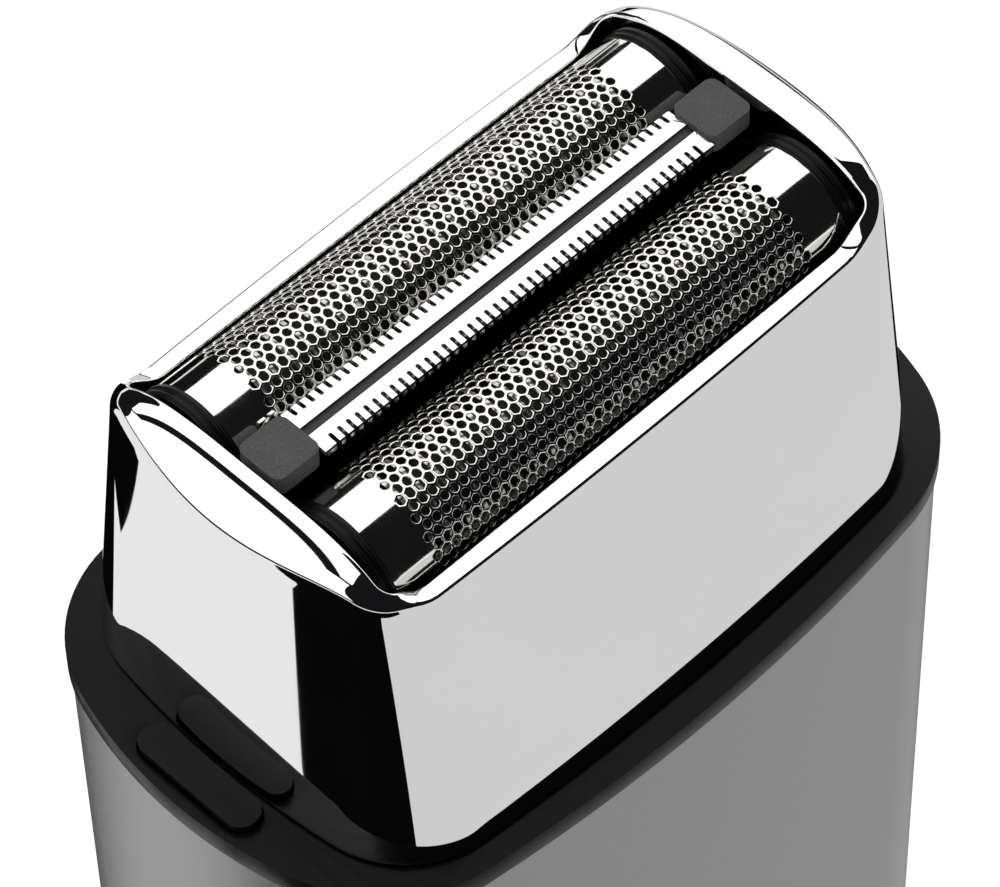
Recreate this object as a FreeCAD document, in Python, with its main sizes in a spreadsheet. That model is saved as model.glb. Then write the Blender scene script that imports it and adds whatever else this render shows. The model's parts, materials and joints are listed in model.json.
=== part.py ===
import FreeCAD, Part
import math, os
from FreeCAD import Vector, Placement, Rotation

# Cordless foil shaver. All lengths in millimetres. +Z up, long axis of the head
# along X, broad front face with the power switch towards -Y, z = 0 under the base.

doc = FreeCAD.newDocument("shaver")
sheet = doc.addObject("Spreadsheet::Sheet", "dims")
sheet.Label = "dims"
_row = [0]


class Dim:
    """A number together with the spreadsheet expression that yields it."""

    def __init__(self, value, text):
        self.v = float(value)
        self.e = text

    def _mix(self, other, op):
        if isinstance(other, Dim):
            v, e = other.v, other.e
        else:
            v, e = float(other), repr(float(other))
        a = self.v
        r = {"+": a + v, "-": a - v, "*": a * v, "/": a / v if v else 0.0}[op]
        return Dim(r, "(%s %s %s)" % (self.e, op, e))

    def __add__(self, o):
        return self._mix(o, "+")

    def __sub__(self, o):
        return self._mix(o, "-")

    def __mul__(self, o):
        return self._mix(o, "*")

    def __truediv__(self, o):
        return self._mix(o, "/")

    def __radd__(self, o):
        return Dim(float(o), repr(float(o))) + self

    def __rsub__(self, o):
        return Dim(float(o), repr(float(o))) - self

    def __rmul__(self, o):
        return Dim(float(o), repr(float(o))) * self

    def __neg__(self):
        return Dim(0.0, "0.0") - self


def dim(alias, value, note=""):
    _row[0] += 1
    cell = "B%d" % _row[0]
    sheet.set("A%d" % _row[0], alias)
    sheet.set(cell, str(value))
    sheet.set("C%d" % _row[0], note)
    sheet.setAlias(cell, alias)
    return Dim(value, "dims." + alias)


def q(x):
    return x if isinstance(x, Dim) else Dim(float(x), repr(float(x)))


# ---------------------------------------------------------------- dimensions
total_height = dim("total_height", 150.0, "base to the top of the trimmer caps")
ledge_level = dim("ledge_level", 122.6, "top face of the collar")
collar_side = dim("collar_side", 1.75, "visible height of the collar")
collar_half_length = dim("collar_half_length", 31.0)
collar_half_width = dim("collar_half_width", 19.86)
collar_corner = dim("collar_corner", 11.0)
end_bulge = dim("end_bulge", 6.0, "sagitta of the curved ends")
side_bulge = dim("side_bulge", 3.3, "sagitta of the broad faces")
body_inset = dim("body_inset", 0.2, "collar proud of the body tube")
wall = dim("wall", 1.4, "body tube wall")
body_bottom = dim("body_bottom", 5.0)
seam_gap = dim("seam_gap", 0.15)
base_level = dim("base_level", 0.8, "underside of the base cap")
foot_half_length = dim("foot_half_length", 27.0)
foot_half_width = dim("foot_half_width", 15.6)
socket_bore = dim("socket_bore", 2.75, "charging socket bore radius")
socket_depth = dim("socket_depth", 10.3)
socket_barrel = dim("socket_barrel", 4.0)
shell_bottom = dim("shell_bottom", 122.9)
shell_bottom_half_length = dim("shell_bottom_half_length", 26.95)
shell_bottom_half_width = dim("shell_bottom_half_width", 17.8)
shell_bottom_corner = dim("shell_bottom_corner", 8.0)
shell_bottom_bulge = dim("shell_bottom_bulge", 2.2)
rim_level = dim("rim_level", 145.97, "top of the long rims")
rim_half_length = dim("rim_half_length", 26.05)
rim_half_width = dim("rim_half_width", 13.45)
rim_corner = dim("rim_corner", 3.4)
rim_end_bulge = dim("rim_end_bulge", 2.9)
horn_rise = dim("horn_rise", 4.3, "rise of the end rims above the long rims")
shell_wall = dim("shell_wall", 1.3)
flange_level = dim("flange_level", 144.8, "underside of the rim flange")
mouth_half_length = dim("mouth_half_length", 22.0)
mouth_half_width = dim("mouth_half_width", 11.95)
mouth_corner = dim("mouth_corner", 0.9)
tower_top = dim("tower_top", 133.0)
tower_half_length = dim("tower_half_length", 24.2)
tower_half_width = dim("tower_half_width", 13.5)
foil_crown = dim("foil_crown", 149.57)
foil_radius = dim("foil_radius", 4.95)
foil_pitch = dim("foil_pitch", 6.6, "foil axis from the centre plane")
foil_gauge = dim("foil_gauge", 0.12)
foil_half_length = dim("foil_half_length", 20.4)
skirt_bottom = dim("skirt_bottom", 140.9)
arch_plate = dim("arch_plate", 1.2, "thickness of the carrier end arches")
carrier_bottom = dim("carrier_bottom", 138.6)
floor_top = dim("floor_top", 136.5, "top of the cassette floor")
floor_bottom = dim("floor_bottom", 134.2)
float_travel = dim("float_travel", 1.2)
cap_inner = dim("cap_inner", 17.6)
cap_outer = dim("cap_outer", 21.5)
cap_half_width = dim("cap_half_width", 1.95)
cap_height = dim("cap_height", 1.6)
comb_top = dim("comb_top", 149.7)
comb_half_width = dim("comb_half_width", 2.2)
comb_gauge = dim("comb_gauge", 0.35)
slot_pitch = dim("slot_pitch", 0.84)
slot_width = dim("slot_width", 0.4)
slot_root = dim("slot_root", 1.25)
slot_count = dim("slot_count", 38)
blade_radius = dim("blade_radius", 4.55)
blade_core = dim("blade_core", 3.2)
blade_pitch = dim("blade_pitch", 1.5)
blade_gauge = dim("blade_gauge", 0.3)
blade_count = dim("blade_count", 25)
post_radius = dim("post_radius", 1.2)
post_top = dim("post_top", 141.5)
running_gap = dim("running_gap", 0.05)
stroke = dim("stroke", 0.9, "eccentricity of the drive pin")
bridge_bottom = dim("bridge_bottom", 126.0)
bridge_top = dim("bridge_top", 128.0)
rod_radius = dim("rod_radius", 0.8)
rod_offset = dim("rod_offset", 10.4)
motor_radius = dim("motor_radius", 12.0)
motor_bottom = dim("motor_bottom", 88.0)
motor_top = dim("motor_top", 112.5)
shaft_radius = dim("shaft_radius", 1.0)
cell_radius = dim("cell_radius", 9.2)
cell_length = dim("cell_length", 65.0)
cell_bottom = dim("cell_bottom", 15.2)
cell_offset = dim("cell_offset", 5.0)
switch_level = dim("switch_level", 75.0)
switch_travel = dim("switch_travel", 4.0)
lamp_level = dim("lamp_level", 58.0)
lamp_radius = dim("lamp_radius", 1.2)
button_half_width = dim("button_half_width", 5.3)
button_rise = dim("button_rise", 0.6, "button proud of the ledge")
button_inner = dim("button_inner", 27.25)
button_outer = dim("button_outer", 29.9)
button_travel = dim("button_travel", 1.0)
doc.recompute()

_n = [0]


def uid(stem):
    _n[0] += 1
    return "%s_%03d" % (stem, _n[0])


def bind(obj, prop, value):
    obj.setExpression(prop, q(value).e)


def place(obj, x, y, z, rot=None):
    x, y, z = q(x), q(y), q(z)
    obj.Placement = Placement(Vector(x.v, y.v, z.v), rot or Rotation())
    bind(obj, "Placement.Base.x", x)
    bind(obj, "Placement.Base.y", y)
    bind(obj, "Placement.Base.z", z)


def box(x0, x1, y0, y1, z0, z1):
    o = doc.addObject("Part::Box", uid("box"))
    x0, x1, y0, y1, z0, z1 = [q(t) for t in (x0, x1, y0, y1, z0, z1)]
    bind(o, "Length", x1 - x0)
    bind(o, "Width", y1 - y0)
    bind(o, "Height", z1 - z0)
    place(o, x0, y0, z0)
    return o


AX = {
    "z": Rotation(),
    "x": Rotation(Vector(0, 1, 0), 90),
    "y": Rotation(Vector(1, 0, 0), -90),
}


def cyl(r, length, x, y, z, axis="z"):
    o = doc.addObject("Part::Cylinder", uid("cyl"))
    bind(o, "Radius", r)
    bind(o, "Height", length)
    place(o, x, y, z, AX[axis])
    return o


def cut(base, *tools):
    tool = tools[0] if len(tools) == 1 else fuse(*tools)
    o = doc.addObject("Part::Cut", uid("cut"))
    o.Base = base
    o.Tool = tool
    return o


def fuse(*parts):
    if len(parts) == 1:
        return parts[0]
    o = doc.addObject("Part::MultiFuse", uid("fuse"))
    o.Shapes = list(parts)
    return o


def common(*parts):
    o = doc.addObject("Part::MultiCommon", uid("common"))
    o.Shapes = list(parts)
    return o


def ring_arcs(L, W, R, bx, by):
    """Eight tangent arcs: rounded rectangle whose four sides bulge outwards."""
    L, W, R, bx, by = [q(t).v for t in (L, W, R, bx, by)]
    rx = (W * W + bx * bx) / (2 * bx)
    ry = (L * L + by * by) / (2 * by)
    cx, cy = L - rx, W - ry
    d = math.hypot(cx, cy)
    a, b = rx - R, ry - R
    k = (a * a - b * b + d * d) / (2 * d)
    hh = math.sqrt(max(a * a - k * k, 0.0))
    ux, uy = -cx / d, cy / d
    px, py = cx + k * ux, k * uy
    c1 = (px - hh * uy, py + hh * ux)
    c2 = (px + hh * uy, py - hh * ux)
    u, v = c1 if (c1[0] + c1[1]) > (c2[0] + c2[1]) else c2
    t1 = math.atan2(v, u - cx)
    t2 = math.atan2(v - cy, u)
    out = []
    for s, base in ((0, 0.0), (1, math.pi)):
        sg = 1 if s == 0 else -1
        out.append(((sg * cx, 0.0), rx, base - t1, base + t1))
        out.append(((sg * u, sg * v), R, base + t1, base + t2))
        out.append(((0.0, sg * cy), ry, base + t2, base + math.pi - t2))
        out.append(((-sg * u, sg * v), R, base + math.pi - t2, base + math.pi - t1))
    return out


def role(body, name):
    for f in body.Origin.OriginFeatures:
        if f.Role == name:
            return f


def new_body(stem):
    return doc.addObject("PartDesign::Body", uid(stem))


def sketch_on(body, plane, offset=0.0):
    sk = body.newObject("Sketcher::SketchObject", uid("sketch"))
    sk.AttachmentSupport = [(role(body, plane), "")]
    sk.MapMode = "FlatFace"
    off = q(offset)
    sk.AttachmentOffset = Placement(Vector(0, 0, off.v), Rotation())
    bind(sk, "AttachmentOffset.Base.z", off)
    return sk


def ring_into(sk, *args):
    for (cx, cy), r, a0, a1 in ring_arcs(*args):
        c = Part.Circle(Vector(cx, cy, 0), Vector(0, 0, 1), r)
        sk.addGeometry(Part.ArcOfCircle(c, a0, a1), False)


def poly_into(sk, pts):
    pts = [Vector(q(a).v, q(b).v, 0) for a, b in pts]
    for i, p in enumerate(pts):
        sk.addGeometry(Part.LineSegment(p, pts[(i + 1) % len(pts)]), False)


def circle_into(sk, x, y, r):
    sk.addGeometry(Part.Circle(Vector(q(x).v, q(y).v, 0), Vector(0, 0, 1), q(r).v), False)


def pad(body, sk, length):
    p = body.newObject("PartDesign::Pad", uid("pad"))
    p.Profile = sk
    bind(p, "Length", length)
    sk.Visibility = False
    return p


def pill_into(sk, cx, cz, half_w, half_h, r):
    """Rounded rectangle with true corner arcs, centred in the sketch."""
    cx, cz, w, h, r = [q(t).v for t in (cx, cz, half_w, half_h, r)]
    for sx, sz, a in ((1, 1, 0), (-1, 1, 1), (-1, -1, 2), (1, -1, 3)):
        c = Part.Circle(Vector(cx + sx * (w - r), cz + sz * (h - r), 0), Vector(0, 0, 1), r)
        sk.addGeometry(Part.ArcOfCircle(c, a * math.pi / 2, (a + 1) * math.pi / 2), False)
    P = [Vector(cx + w, cz + h - r, 0), Vector(cx + w, cz - h + r, 0), Vector(cx + w - r, cz - h, 0),
         Vector(cx - w + r, cz - h, 0), Vector(cx - w, cz - h + r, 0), Vector(cx - w, cz + h - r, 0),
         Vector(cx - w + r, cz + h, 0), Vector(cx + w - r, cz + h, 0)]
    for i in (0, 2, 4, 6):
        sk.addGeometry(Part.LineSegment(P[i], P[i + 1]), False)


def slab(z0, z1, *rings):
    """Straight-walled block between two levels; a second ring makes it a frame."""
    b = new_body("slab")
    sk = sketch_on(b, "XY_Plane", z0)
    for r in rings:
        ring_into(sk, *r)
    pad(b, sk, q(z1) - q(z0))
    return b


def loft(sections):
    """Ruled loft through rings at given levels."""
    b = new_body("loft")
    sks = []
    for z, args in sections:
        sk = sketch_on(b, "XY_Plane", z)
        ring_into(sk, *args)
        sks.append(sk)
    doc.recompute()
    lo = b.newObject("PartDesign::AdditiveLoft", uid("al"))
    lo.Profile = sks[0]
    lo.Sections = sks[1:]
    lo.Ruled = True
    return b


def node(obj, name):
    obj.Label = name
    nodes[name] = obj
    return obj


nodes = {}


def lerp(a, b, t):
    return a + (b - a) * t


# ------------------------------------------------------------- body assembly
body_ring = (collar_half_length - body_inset, collar_half_width - body_inset,
             collar_corner - 0.2, end_bulge, side_bulge)
body_inner = (collar_half_length - body_inset - wall, collar_half_width - body_inset - wall,
              collar_corner - 1.6, end_bulge, side_bulge)
spigot_ring = (collar_half_length - body_inset - wall - 0.1, collar_half_width - body_inset - wall - 0.1,
               collar_corner - 1.7, end_bulge, side_bulge)
collar_ring = (collar_half_length, collar_half_width, collar_corner, end_bulge, side_bulge)
front = -(collar_half_width - body_inset)
body_top = ledge_level - collar_side - seam_gap

tube = slab(body_bottom, body_top, body_ring, body_inner)
window = box(-2.2, 2.2, front - 1.0, front + 3.0, switch_level - 2.2, switch_level + switch_travel + 2.2)
lamp_hole = cyl(lamp_radius, 4.0, 0, front - 1.0, lamp_level, "y")
node(cut(tube, window, lamp_hole), "body_shell")

collar_plate = slab(ledge_level - collar_side, ledge_level, collar_ring)
collar_plug = slab(116.0, ledge_level - collar_side, spigot_ring)
plug_bore = cyl(7.5, 10.0, 0, 0, 114.0)
plug_relief = slab(115.0, ledge_level - 4.0, (q(26.0), q(14.5), q(5.0), q(4.0), q(1.5)), (q(11.0), q(11.0), q(4.0), q(2.0), q(2.0)))
button_pockets = []
for s in (-1.0, 1.0):
    b = new_body("pocket")
    sk = sketch_on(b, "XY_Plane", ledge_level - 1.5)
    pill_into(sk, (button_inner + button_outer) * (0.5 * s), 0.0, (button_outer - button_inner) * 0.5 + 0.12,
              button_half_width + 0.12, 1.37)
    pad(b, sk, q(2.5))
    button_pockets.append(b)
    button_pockets.append(box(-28.7, -27.3, -1.65, 1.65, 117.4, 121.5) if s < 0 else box(27.3, 28.7, -1.65, 1.65, 117.4, 121.5))
node(cut(fuse(collar_plate, collar_plug), plug_bore, plug_relief, *button_pockets), "collar")

base_block = slab(base_level, body_bottom, body_ring)
base_plug = slab(body_bottom, 9.0, spigot_ring)
base_bore = cyl(socket_barrel, 12.0, 0, 0, -1.0)
screw_hole_left = cyl(1.5, 12.0, -18.0, 0, -1.0)
screw_hole_right = cyl(1.5, 12.0, 18.0, 0, -1.0)
screw_sink_left = cyl(2.8, 2.2, -18.0, 0, 0.0)
screw_sink_right = cyl(2.8, 2.2, 18.0, 0, 0.0)
node(cut(fuse(base_block, base_plug), base_bore, screw_hole_left, screw_hole_right,
         screw_sink_left, screw_sink_right), "base_cap")
node(slab(0.0, base_level, (foot_half_length, foot_half_width, q(6.5), q(4.5), q(1.8)),
          (foot_half_length - 2.6, foot_half_width - 2.6, q(4.5), q(4.3), q(1.7))), "base_foot")

socket_outer = cyl(socket_barrel, 12.0, 0, 0, 0.0)
socket_lip = cyl(socket_barrel + 1.2, 1.4, 0, 0, 9.0)
socket_hole = cyl(socket_bore, socket_depth, 0, 0, 0.0)
socket_spring = cyl(0.9, 1.2, 0, 0, socket_depth)
node(cut(fuse(socket_outer, socket_lip), socket_hole, socket_spring), "charging_socket")

screws = []
for sx in (-18.0, 18.0):
    head = cyl(2.6, 1.2, sx, 0, 1.0)
    shank = cyl(1.4, 10.0, sx, 0, 2.2)
    slot_a = box(sx - 1.8, sx + 1.8, -0.3, 0.3, 0.9, 1.6)
    slot_b = box(sx - 0.3, sx + 0.3, -1.8, 1.8, 0.9, 1.6)
    screws.append(cut(fuse(head, shank), slot_a, slot_b))
node(fuse(*screws), "base_screws")

side_l = box(-25.2, -24.0, -10.0, 10.0, 12.6, 114.0)
side_r = box(24.0, 25.2, -10.0, 10.0, 12.6, 114.0)
low_plate = box(-25.2, 25.2, -8.0, 14.2, 12.6, 14.2)
mid_plate = box(-25.2, 25.2, -10.0, 10.0, 83.4, 85.9)
mid_hole = cyl(8.0, 5.0, 0, 0, 82.0)
rib_l = box(-24.0, -11.0, 4.0, 6.0, 14.2, 83.4)
rib_r = box(11.0, 24.0, 4.0, 6.0, 14.2, 83.4)
node(cut(fuse(side_l, side_r, low_plate, mid_plate, rib_l, rib_r), mid_hole,
         cyl(1.5, 3.0, -18.0, 0, 11.5), cyl(1.5, 3.0, 18.0, 0, 11.5)), "chassis")

node(cyl(cell_radius, cell_length, 0, cell_offset, cell_bottom), "battery_cell")
node(cyl(2.8, 0.8, 0, cell_offset, cell_bottom + cell_length), "battery_terminal")
tab_top = cell_bottom + cell_length + 0.8
node(fuse(box(-3.0, 3.0, cell_offset - 6.0, cell_offset + 3.0, tab_top, tab_top + 0.3),
          box(-3.0, 3.0, cell_offset - 6.0, cell_offset - 5.7, tab_top + 0.3, tab_top + 1.8)), "battery_tab_top")
node(fuse(box(-3.0, 3.0, cell_offset - 12.0, cell_offset + 3.0, cell_bottom - 0.3, cell_bottom),
          box(-3.0, 3.0, cell_offset - 12.0, cell_offset - 11.7, cell_bottom, cell_bottom + 6.0)), "battery_tab_bottom")

node(box(-15.0, 15.0, -11.7, -10.5, 18.0, 82.0), "circuit_board")
node(box(-4.0, 4.0, -12.9, -11.7, 30.0, 38.0), "charge_chip")
node(box(-4.6, 4.6, -14.8, -11.7, switch_level - 6.0, switch_level + 8.0), "power_switch")
node(box(-1.2, 1.2, -13.3, -11.7, lamp_level - 1.0, lamp_level + 1.0), "indicator_led")
node(cyl(lamp_radius, q(-14.0) - (front - 0.1), 0, front - 0.1, lamp_level, "y"), "indicator_lens")

def plate_y(y0, y1, rings):
    """Rounded plate in the XZ plane between two Y levels (y0 < y1)."""
    b = new_body("plate")
    sk = sketch_on(b, "XZ_Plane", -q(y1))
    for r in rings:
        pill_into(sk, *r)
    pad(b, sk, q(y1) - q(y0))
    return b


mid_switch = switch_level + switch_travel / 2.0
node(plate_y(front - 0.45, front - 0.02, [(0, mid_switch, 6.6, 11.2, 5.0), (0, mid_switch, 3.0, 5.4, 1.0)]), "switch_bezel")

pad_out = plate_y(front - 2.0, front - 0.55, [(0, switch_level, 4.6, 5.2, 2.2)])
stem = box(-1.7, 1.7, front - 0.6, -15.1, switch_level - 1.7, switch_level + 1.7)
ribs = [cyl(0.35, 7.0, -3.5, front - 2.0, switch_level + dz, "x") for dz in (-2.4, -1.2, 0.0, 1.2, 2.4)]
node(cut(fuse(pad_out, stem), *ribs), "switch_slider")

# ---------------------------------------------------------------- motor, drive
can = cyl(motor_radius, motor_top - motor_bottom, 0, 0, motor_bottom)
boss = cyl(4.0, 1.5, 0, 0, motor_top)
can_room = cyl(motor_radius - 0.8, motor_top - motor_bottom - 1.2, 0, 0, motor_bottom)
can_bore = cyl(shaft_radius + running_gap, 10.0, 0, 0, motor_top - 5.0)
node(cut(fuse(can, boss), can_room, can_bore), "motor_can")
node(cut(cyl(motor_radius - 1.0, 2.1, 0, 0, motor_bottom - 2.1),
         cyl(shaft_radius + running_gap, 4.0, 0, 0, motor_bottom - 3.0)), "motor_end_cap")
node(fuse(box(-6.0, -4.6, -0.3, 0.3, 83.9, 85.9), box(4.6, 6.0, -0.3, 0.3, 83.9, 85.9)), "motor_terminals")
mount_plate = box(-22.0, 22.0, -11.0, 11.0, motor_top, 116.0)
node(cut(mount_plate, cyl(4.0, 2.0, 0, 0, motor_top - 0.5), cyl(3.6, 4.0, 0, 0, motor_top + 1.5),
         cyl(0.8, 6.0, -5.6, 0, motor_top - 1.0), cyl(0.8, 6.0, 5.6, 0, motor_top - 1.0)), "motor_mount")
node(fuse(cyl(0.8, 3.5, -5.6, 0, motor_top), cyl(1.4, 0.8, -5.6, 0, 116.0),
          cyl(0.8, 3.5, 5.6, 0, motor_top), cyl(1.4, 0.8, 5.6, 0, 116.0)), "motor_screws")

node(cyl(shaft_radius, 123.6 - 86.2, 0, 0, 86.2), "motor_shaft")
node(cut(cyl(8.0, 15.0, 0, 0, 92.0), cyl(shaft_radius, 17.0, 0, 0, 91.0)), "rotor_core")
ecc_disc = cyl(3.4, 3.0, 0, 0, 120.8)
ecc_hole = cyl(shaft_radius, 2.8, 0, 0, 120.8)
ecc_pin = cyl(0.9, 4.2, stroke, 0, 123.8)
node(fuse(cut(ecc_disc, ecc_hole), ecc_pin), "eccentric")

yoke_x = stroke * 2.0 + 1.2 + 0.3
yoke_y = stroke + 1.2
bridge_plate = box(-14.0, 14.0, -11.6, 11.6, bridge_bottom, bridge_top)
yoke = box(-yoke_x, yoke_x, -yoke_y, yoke_y, 125.0, 129.0)
rod_holes = [cyl(rod_radius + running_gap, 40.0, -20.0, s * rod_offset, 127.0, "x") for s in (-1.0, 1.0)]
fork_base_l = box(-4.6, -3.4, -0.9, 0.9, bridge_top, 129.6)
fork_base_r = box(3.4, 4.6, -0.9, 0.9, bridge_top, 129.6)
fork_deck = box(-4.6, 4.6, -0.9, 0.9, 129.6, 132.2)
prong_l = box(-2.3, -1.4, -0.9, 0.9, 132.2, 135.6)
prong_r = box(1.4, 2.3, -0.9, 0.9, 132.2, 135.6)
light_l = box(-11.0, -5.6, -3.6, 3.6, 125.0, 129.0)
light_r = box(5.6, 11.0, -3.6, 3.6, 125.0, 129.0)
node(cut(fuse(bridge_plate, fork_base_l, fork_base_r, fork_deck, prong_l, prong_r),
         yoke, light_l, light_r, *rod_holes), "drive_bridge")

for name, s in (("front", -1.0), ("rear", 1.0)):
    yc = foil_pitch * s
    node(fuse(cyl(post_radius, post_top - bridge_top, 0, yc, bridge_top),
              cyl(2.2, 0.8, 0, yc, 133.8)), "drive_post_" + name)
    node(cyl(rod_radius, 45.4, -22.7, rod_offset * s, 127.0, "x"), "guide_rod_" + name)

# ------------------------------------------------------------------- neck
tower_ring = (tower_half_length, tower_half_width, q(4.0), q(3.0), q(1.0))
tower_room = (tower_half_length - 1.5, tower_half_width - 1.4, q(2.6), q(3.0), q(1.0))
tower = slab(ledge_level, tower_top, tower_ring)
room = slab(ledge_level - 1.0, tower_top - 1.6, tower_room)


def shell_section(z, inset):
    """Outer ring of the chrome shell at level z, moved inwards by inset."""
    t = (q(z) - shell_bottom) / (rim_level - shell_bottom)
    L = shell_bottom_half_length + (rim_half_length - shell_bottom_half_length) * t - inset
    W = shell_bottom_half_width + (rim_half_width - shell_bottom_half_width) * t - inset
    R = shell_bottom_corner + (rim_corner - shell_bottom_corner) * t - inset
    bx = shell_bottom_bulge + (rim_end_bulge - shell_bottom_bulge) * t
    by = 1.7 - 1.08 * t
    return (z, (L, W, R, bx, by))


slot_parts = []
for s in (-1.0, 1.0):
    yc = foil_pitch * s
    slot_parts += [box(-1.3, 1.3, yc - 1.6, yc + 1.6, 130.0, 134.0),
                   cyl(1.6, 4.0, -1.3, yc, 130.0), cyl(1.6, 4.0, 1.3, yc, 130.0)]
fork_slot = box(-6.0, 6.0, -1.3, 1.3, 130.0, 134.0)
rod_bores = [cyl(rod_radius + 0.03, 46.0, -23.0, rod_offset * s, 127.0, "x") for s in (-1.0, 1.0)]
node(cut(tower, room, fork_slot, *slot_parts, *rod_bores), "neck")
for name, s in (("front", -1.0), ("rear", 1.0)):
    yc = foil_pitch * s
    outer = fuse(box(-1.3, 1.3, yc - 2.9, yc + 2.9, tower_top, tower_top + 0.5),
                 cyl(2.9, 0.5, -1.3, yc, tower_top), cyl(2.9, 0.5, 1.3, yc, tower_top))
    inner = fuse(box(-1.3, 1.3, yc - 1.5, yc + 1.5, tower_top - 1.0, tower_top + 1.0),
                 cyl(1.5, 2.0, -1.3, yc, tower_top - 1.0), cyl(1.5, 2.0, 1.3, yc, tower_top - 1.0))
    node(cut(outer, inner), "drive_seal_" + name)

# release buttons: low rounded pads let into the collar at both ends
for name, s in (("left", -1.0), ("right", 1.0)):
    b = new_body("button")
    sk = sketch_on(b, "XY_Plane", ledge_level - 0.4)
    pill_into(sk, (button_inner + button_outer) * (0.5 * s), 0.0, (button_outer - button_inner) * 0.5, button_half_width, 1.25)
    pad(b, sk, button_rise + 0.4)
    stem = box(-28.55, -27.45, -1.5, 1.5, 119.4, ledge_level) if s < 0 else box(27.45, 28.55, -1.5, 1.5, 119.4, ledge_level)
    node(fuse(b, stem), "release_button_" + name)


def spring(z0, z1, spots, r, wire, turns):
    """Open coil springs standing on the given spots, ground flat by the end cuts."""
    z0, z1 = q(z0).v, q(z1).v
    out = []
    for x, y in spots:
        x, y = q(x).v, q(y).v
        pitch = (z1 - z0 - 2 * wire) / float(turns)
        helix = Part.makeHelix(pitch, pitch * turns, r - wire)
        prof = Part.Wire([Part.makeCircle(wire, Vector(r - wire, 0, 0), Vector(0, 1, 0))])
        s = Part.Wire(helix.Edges).makePipeShell([prof], True, True)
        s.translate(Vector(x, y, z0 + wire))
        out.append(s)
    f = doc.addObject("Part::Feature", uid("spring"))
    f.Shape = Part.makeCompound(out)
    f.Placement = Placement(Vector(0, 0, 0), Rotation())
    return f


# ------------------------------------------------------------------- cutters
axis_level = foil_crown - foil_radius
for name, s in (("front", -1.0), ("rear", 1.0)):
    yc = foil_pitch * s
    half_len = blade_pitch * (blade_count - 1.0) / 2.0 + 0.6
    core = cyl(blade_core, half_len * 2.0, -half_len, yc, axis_level, "x")
    core_low = box(-half_len, half_len, yc - blade_core, yc + blade_core, 137.0, axis_level)
    bore = cyl(post_radius + running_gap, 6.3, 0, yc, 136.9)
    lighten_l = box(-17.0, -4.0, yc - 2.0, yc + 2.0, 136.0, 142.0)
    lighten_r = box(4.0, 17.0, yc - 2.0, yc + 2.0, 136.0, 142.0)
    node(cut(fuse(core, core_low), bore, lighten_l, lighten_r), "cutter_hub_" + name)

    cb = new_body("blades")
    x_first = -(blade_pitch * (blade_count - 1.0) / 2.0) - blade_gauge / 2.0
    sk = sketch_on(cb, "YZ_Plane", x_first)
    y0, z0, ro, ri = yc.v, axis_level.v, blade_radius.v, blade_core.v
    z_low = z0 - 0.5
    ao, ai = math.asin(-0.5 / ro), math.asin(-0.5 / ri)
    sk.addGeometry(Part.ArcOfCircle(Part.Circle(Vector(y0, z0, 0), Vector(0, 0, 1), ro), ao, math.pi - ao), False)
    sk.addGeometry(Part.ArcOfCircle(Part.Circle(Vector(y0, z0, 0), Vector(0, 0, 1), ri), 0.0, math.pi), False)
    for sg in (1, -1):
        po = Vector(y0 + sg * ro * math.cos(ao), z_low, 0)
        pi_ = Vector(y0 + sg * ri, z_low, 0)
        pj = Vector(y0 + sg * ri, z0, 0)
        sk.addGeometry(Part.LineSegment(po, pi_), False)
        sk.addGeometry(Part.LineSegment(pi_, pj), False)
    first = pad(cb, sk, blade_gauge)
    pat = cb.newObject("PartDesign::LinearPattern", uid("pattern"))
    pat.Originals = [first]
    sk.Visibility = False
    pat.Direction = (role(cb, "X_Axis"), [""])
    bind(pat, "Length", blade_pitch * (blade_count - 1.0))
    pat.Occurrences = int(blade_count.v)
    pat.setExpression("Occurrences", "dims.blade_count")
    cb.Tip = pat
    blades = cb
    rail_a = box(-half_len, half_len, yc - blade_core - 0.5, yc - blade_core, axis_level - 0.5, axis_level - 0.1)
    rail_b = box(-half_len, half_len, yc + blade_core, yc + blade_core + 0.5, axis_level - 0.5, axis_level - 0.1)
    node(fuse(blades, rail_a, rail_b), "cutter_blades_" + name)
    node(spring(134.6, 137.0, [(0.0, yc)], 1.95, 0.15, 4), "cutter_spring_" + name)

# ---------------------------------------------------------------------- head
outer_shell = loft([shell_section(shell_bottom, 0.0), shell_section(q(151.2), 0.0)])
inner_room = loft([shell_section(shell_bottom - 1.0, shell_wall), shell_section(flange_level, shell_wall)])
mouth_b = new_body("mouth")
mouth_sk = sketch_on(mouth_b, "XY_Plane", flange_level - 1.0)
pill_into(mouth_sk, 0.0, 0.0, mouth_half_length, mouth_half_width, mouth_corner)
pad(mouth_b, mouth_sk, 9.0)


def smooth(t):
    t = min(max(t, 0.0), 1.0)
    return t * t * (3 - 2 * t)


def rim_height(x, y):
    """Top of the shell: low straight long rims, end rims rising as domed horns."""
    a = abs(x)
    run = smooth((a - 18.6) / (mouth_half_length.v - 18.6))
    fall = max(a - mouth_half_length.v, 0.0) / (rim_half_length.v - mouth_half_length.v)
    across = 1.0 - min(abs(y) / 13.9, 1.0) ** 4
    return rim_level.v + horn_rise.v * run * (1.0 - 0.45 * fall ** 1.6) * across


xs = [-30 + i * 1.0 for i in range(61)]
ys = [-18 + j * 1.0 for j in range(37)]
grid = [[Vector(x, y, rim_height(x, y)) for y in ys] for x in xs]
surf = Part.BSplineSurface()
surf.interpolate(grid)
lid = surf.toShape().extrude(Vector(0, 0, 12))
top_tool = doc.addObject("Part::Feature", "rim_tool")
top_tool.Shape = lid
top_tool.Placement = Placement(Vector(0, 0, 0), Rotation())
node(cut(outer_shell, inner_room, mouth_b, top_tool), "head_shell")

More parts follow.
